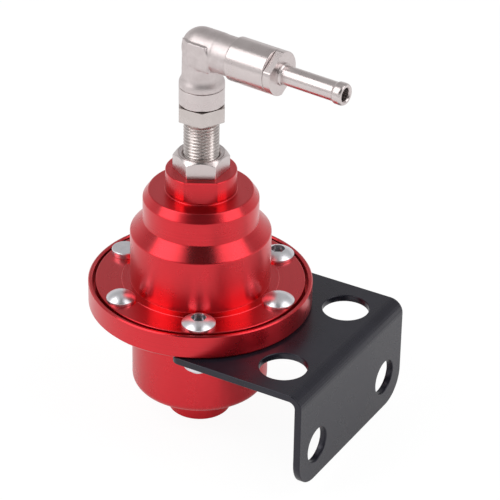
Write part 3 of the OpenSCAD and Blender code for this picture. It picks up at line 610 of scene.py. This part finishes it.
def make_nipple():
    """The hose nipple: root, round collar with two spanner flats, shoulder, tail and bead, bored through."""
    collar_from = SLEEVE_TO + COLLAR_GAP
    corners = [(TAIL_BORE_R, ROOT_FROM), (ROOT_R, ROOT_FROM), (ROOT_R, collar_from), (SLEEVE_R, collar_from),
        (SLEEVE_R, COLLAR_END), (TAIL_R + 0.5, COLLAR_END), (TAIL_R + 0.45, COLLAR_END + 0.7),
        (TAIL_R, COLLAR_END + 1.0), (TAIL_R, BEAD_FROM), (BEAD_R, BEAD_FROM + 0.5), (BEAD_R, TAIL_END - 0.6),
        (BEAD_R - 0.3, TAIL_END), (TAIL_BORE_R + 0.3, TAIL_END), (TAIL_BORE_R, TAIL_END - 0.4)]
    rounds = [.1, .1, .1, .12, .18, .12, .15, .25, .25, .3, .35, .15, .12, .2]
    grid = turned(eased(corners, rounds), 240)
    grid = milled_flats(grid, COLLAR_FLAT, COLLAR_TURN, SLEEVE_TO + 0.05, COLLAR_END + 0.01)
    piece("hose_tail", [along_arm(grid)], NICKEL_ARM, "elbow", "nickel_turned", "hose_nipple")


def port_thread(depth):
    """The thread in a port: a tube whose radius rises and falls along its length, narrowing a little inwards, with a
    plain bottom edge; drawn from the mouth down."""
    clear, taper, back, rows_a_turn = 0.05, 0.03, PORT_R - 0.01, 12
    z = np.linspace(0, depth, int(depth / PORT_PITCH * rows_a_turn))
    wave = np.abs(2 * ((z / PORT_PITCH) % 1) - 1)
    inner = PORT_R - clear - PORT_THREAD_DEPTH * (1 - wave) - taper * z / depth
    outline = np.concatenate([np.stack([inner, -z], -1), [(back, -depth), (back, 0)]])
    return turned(outline, 96)


def make_port_threads():
    """Threads cut in the return port under the boss and in the two side ports."""
    below = port_thread(PORT_DEPTH) * (1, -1, -1) + (0, 0, PORT_INSET)
    x, y, z = np.moveaxis(port_thread(PORT_DEPTH - 0.5), -1, 0)
    inlet = np.stack([x, z + PORT_FACE - PORT_INSET, PORT_Z - y], -1)
    gauge = np.stack([-z - PORT_FACE + PORT_INSET, x, PORT_Z - y], -1)
    piece("port_threads", [below, inlet, gauge], RED, "housing", "red_anodised")


def soften(name, width):
    """Eases a CAD node's sharp edges with modifiers: loose triangles are welded, flat faces are joined, and then edges
    are rounded."""
    node = frame["nodes"][name]
    weld = node.modifiers.new("weld", "WELD")
    weld.merge_threshold = MERGE_DISTANCE
    flat = node.modifiers.new("planar", "DECIMATE")
    flat.decimate_type = "DISSOLVE"
    flat.angle_limit = math.radians(0.4)
    bevel = node.modifiers.new("eased", "BEVEL")
    bevel.width = width * MM
    bevel.segments = 3
    bevel.limit_method = "ANGLE"
    bevel.angle_limit = math.radians(35)
    bevel.use_clamp_overlap = False
    bevel.harden_normals = True


def cheek(side):
    """One flat cheek of the elbow, stacked plans from its low end to its top: each plan runs from the round back to
    the flat and the front, whose upper corner is cut off, and the lowest plans draw in to run into the leg."""
    run_top = CHEEK_LOW + CHEEK_RUN
    z = np.concatenate([np.linspace(CHEEK_LOW, run_top, 9), np.linspace(run_top + 0.2, CHEEK_TOP, 24)])
    front = CHEEK_FRONT - np.clip((z - CHEEK_TOP + CHEEK_CUT) / CHEEK_CUT, 0, 1)
    wide = CHEEK_W - 0.5 * np.clip((run_top - z) / CHEEK_RUN, 0, 1) ** 2
    back, bend, inside = (np.full_like(z, v) for v in (CHEEK_BACK, CHEEK_BEND, CHEEK_INSIDE))
    x = np.stack([back, bend, 0.5 * front, front, front, 0.5 * front, bend, back], -1)
    y = np.stack([wide - 2.0, wide, wide, wide, inside, inside, inside, wide - 2.2], -1)
    plans = np.stack([x, side * y, np.broadcast_to(z[:, None], x.shape)], -1)
    ends = [np.broadcast_to(plan.mean(0), plan.shape)[None] for plan in (plans[0], plans[-1])]
    x, y, z = np.moveaxis(np.concatenate([ends[0], plans, ends[1]]), -1, 0)
    return swung(x, y, z, ARM_ANGLE)


def make_elbow():
    """The elbow: a turned ring at its foot, and above it a casting. The casting is a turned leg, a turned arm with a
    round heel and two cheeks; small cubes join them, and its corners are then relaxed."""
    ring = eased([(SOCKET_R, ELBOW_Z), (COLLAR_R, ELBOW_Z), (COLLAR_R, COLLAR_TOP), (SOCKET_R, COLLAR_TOP)],
        [.1, .2, .12, .1])
    piece("elbow_ring", [turned(ring, 240)], NICKEL, "elbow", "nickel_turned", "elbow_body")
    leg = eased([(SOCKET_R, COLLAR_TOP), (COLLAR_R + 0.02, COLLAR_TOP), (COLLAR_R, COLLAR_TOP + 1.5),
        (LEG_R + 0.12, COLLAR_TOP + 3.1), (LEG_R, ARM_Z), (PASSAGE_R, ARM_Z), (PASSAGE_R, SOCKET_TOP),
        (SOCKET_R, SOCKET_TOP)], [.1, .15, .5, .6, .1, .1, .1, .1])
    heel, neck_end = arc_points(0, 0, ARM_R, -88, 0, 24), SLEEVE_FROM - SLEEVE_GAP
    arm = np.concatenate([heel, [(ARM_R, ARM_TO - 0.2), (ARM_R, ARM_TO), (NECK_ARM_R, ARM_TO + 0.25),
        (NECK_ARM_R, neck_end), (STUB_R, neck_end), (STUB_R, STUB_TO), (TAIL_BORE_R, STUB_TO),
        (TAIL_BORE_R, ARM_BORE_FROM), (0.02, ARM_BORE_FROM)]])
    rounds = [turned(leg, 120), along_arm(turned(arm, 120))]
    cheeks = [cheek(1), cheek(-1)]
    casting = piece("cast_elbow", rounds, CAST, "elbow", "nickel_cast", "elbow_body", extra=cheeks)
    cubes = casting.modifiers.new("cubes", "REMESH")
    cubes.mode = "VOXEL"
    cubes.voxel_size = CASTING_CUBE * MM
    cubes.use_smooth_shade = True
    relax = casting.modifiers.new("relax", "SMOOTH")
    relax.factor = 0.5
    relax.iterations = CASTING_RELAX


make_elbow()
soften("mounting_bracket", 0.3)
make_bonnet()
make_fasteners()
make_nuts()
make_adjuster()
make_sleeve()
make_nipple()
make_port_threads()


def camera_axes():
    """The camera's right, up and backward directions from its azimuth, elevation and roll."""
    a, e, r = (math.radians(v) for v in (CAMERA_AZIMUTH, CAMERA_ELEVATION, CAMERA_ROLL))
    back = Vector((math.sin(a) * math.cos(e), -math.cos(a) * math.cos(e), math.sin(e)))
    level = Vector((math.cos(a), math.sin(a), 0))
    rise = back.cross(level)
    return (math.cos(r) * level + math.sin(r) * rise, math.cos(r) * rise - math.sin(r) * level, back)


def make_camera():
    """A long lens at the photograph's viewing angle."""
    data = bpy.data.cameras.new("camera")
    data.sensor_width = CAMERA_SENSOR
    data.lens = CAMERA_LENS
    data.clip_start, data.clip_end = 0.01, 50
    obj = add_object("camera", data)
    turn = Matrix(camera_axes()).transposed().to_4x4()
    obj.matrix_world = Matrix.Translation(CAMERA_PLACE) @ turn
    bpy.context.scene.camera = obj


# Level directions in the studio: towards the photographer, and to the right as they see it
TOWARDS = Vector((math.sin(math.radians(CAMERA_AZIMUTH)), -math.cos(math.radians(CAMERA_AZIMUTH)), 0))
RIGHTWARDS = Vector((math.cos(math.radians(CAMERA_AZIMUTH)), math.sin(math.radians(CAMERA_AZIMUTH)), 0))


def softbox(name, towards, right, up, level):
    """An oblong lamp that looks at the object from a studio direction; level is its brightness, white being 1."""
    data = bpy.data.lights.new(name, "AREA")
    data.shape = "RECTANGLE"
    data.size, data.size_y = SOFTBOX_WIDTH, SOFTBOX_HEIGHT
    data.energy = level * math.pi * SOFTBOX_WIDTH * SOFTBOX_HEIGHT
    obj = add_object(name, data)
    way = (TOWARDS * towards + RIGHTWARDS * right + Vector((0, 0, up))).normalized()
    place = Matrix.Translation(MIDDLE + way * SOFTBOX_DISTANCE)
    obj.matrix_world = place @ way.to_track_quat("Z", "Y").to_matrix().to_4x4()


def ray_share(tree):
    """One for rays from the camera and for rays that metal or glass throws on, so that these see the background."""
    path = tree.nodes.new("ShaderNodeLightPath")
    total = path.outputs["Is Camera Ray"]
    for other in ("Is Glossy Ray", "Is Transmission Ray"):
        total = math_node(tree, "MAXIMUM", total, path.outputs[other])
    return path, total


def make_studio():
    """A white room: it is white low down and darker overhead, most of all above the photographer. The camera sees it
    white, metal sees its shading, and other rays find an even grey."""
    world = bpy.data.worlds.new("studio")
    bpy.context.scene.world = world
    world.use_nodes = True
    tree = world.node_tree
    tree.nodes.clear()

    def along(direction):
        """How far a ray points in a direction."""
        node = tree.nodes.new("ShaderNodeVectorMath")
        node.operation = "DOT_PRODUCT"
        tree.links.new(coordinates, node.inputs[0])
        node.inputs[1].default_value = direction
        return node.outputs["Value"]

    def smooth(value, low, high):
        """A soft step from 0 to 1 between two values."""
        node = tree.nodes.new("ShaderNodeMapRange")
        node.interpolation_type = "SMOOTHSTEP"
        node.inputs["From Min"].default_value = low
        node.inputs["From Max"].default_value = high
        tree.links.new(value, node.inputs["Value"])
        return node.outputs["Result"]

    coordinates = tree.nodes.new("ShaderNodeTexCoord").outputs["Generated"]
    shade_overhead, shade_in_front, even_grey = 0.45, 0.48, 0.45
    up = smooth(along((0, 0, 1)), 0.12, 0.5)
    front = smooth(along(TOWARDS), -0.1, 0.3)
    depth = math_node(tree, "ADD", math_node(tree, "MULTIPLY", front, shade_in_front), shade_overhead)
    seen = math_node(tree, "SUBTRACT", 1.0, math_node(tree, "MULTIPLY", up, depth))
    path, share = ray_share(tree)
    seen = math_node(tree, "MAXIMUM", seen, path.outputs["Is Camera Ray"])
    rest = math_node(tree, "MULTIPLY", math_node(tree, "SUBTRACT", 1.0, share), even_grey)
    level = math_node(tree, "ADD", math_node(tree, "MULTIPLY", share, seen), rest)
    light = tree.nodes.new("ShaderNodeBackground")
    tree.links.new(level, light.inputs["Strength"])
    output = tree.nodes.new("ShaderNodeOutputWorld")
    tree.links.new(light.outputs[0], output.inputs["Surface"])


def make_floor():
    """A wide white floor: pale grey to other rays, and with a glow to metal and to the camera, so that it is white and
    still keeps a faint shadow of the object."""
    corners = [(x * FLOOR_REACH, y * FLOOR_REACH, 0) for x, y in ((-1, -1), (1, -1), (1, 1), (-1, 1))]
    mesh = bpy.data.meshes.new("floor")
    mesh.from_pydata(corners, [], [(0, 1, 2, 3)])
    floor = add_object("floor", mesh)
    material = bpy.data.materials.new("white_floor")
    material.use_nodes = True
    tree = material.node_tree
    tree.nodes.clear()
    plain = tree.nodes.new("ShaderNodeBsdfDiffuse")
    plain.inputs["Color"].default_value = (0.8, 0.8, 0.8, 1)
    path, share = ray_share(tree)
    last = plain.outputs[0]
    for chosen, grey, strength in ((share, 0.9, 0.18), (path.outputs["Is Camera Ray"], 0.1, 0.94)):
        lit = tree.nodes.new("ShaderNodeBsdfDiffuse")
        lit.inputs["Color"].default_value = (grey, grey, grey, 1)
        glow = tree.nodes.new("ShaderNodeEmission")
        glow.inputs["Strength"].default_value = strength
        both = tree.nodes.new("ShaderNodeAddShader")
        tree.links.new(lit.outputs[0], both.inputs[0])
        tree.links.new(glow.outputs[0], both.inputs[1])
        mix = tree.nodes.new("ShaderNodeMixShader")
        tree.links.new(chosen, mix.inputs[0])
        tree.links.new(last, mix.inputs[1])
        tree.links.new(both.outputs[0], mix.inputs[2])
        last = mix.outputs[0]
    output = tree.nodes.new("ShaderNodeOutputMaterial")
    tree.links.new(last, output.inputs["Surface"])
    mesh.materials.append(material)


make_camera()
make_studio()
make_floor()
softbox("left_softbox", 0.25, -0.68, 0.69, 2.2)
softbox("right_softbox", 0.25, 0.68, 0.69, 1.9)
bpy.context.scene.view_settings.view_transform = "Standard"
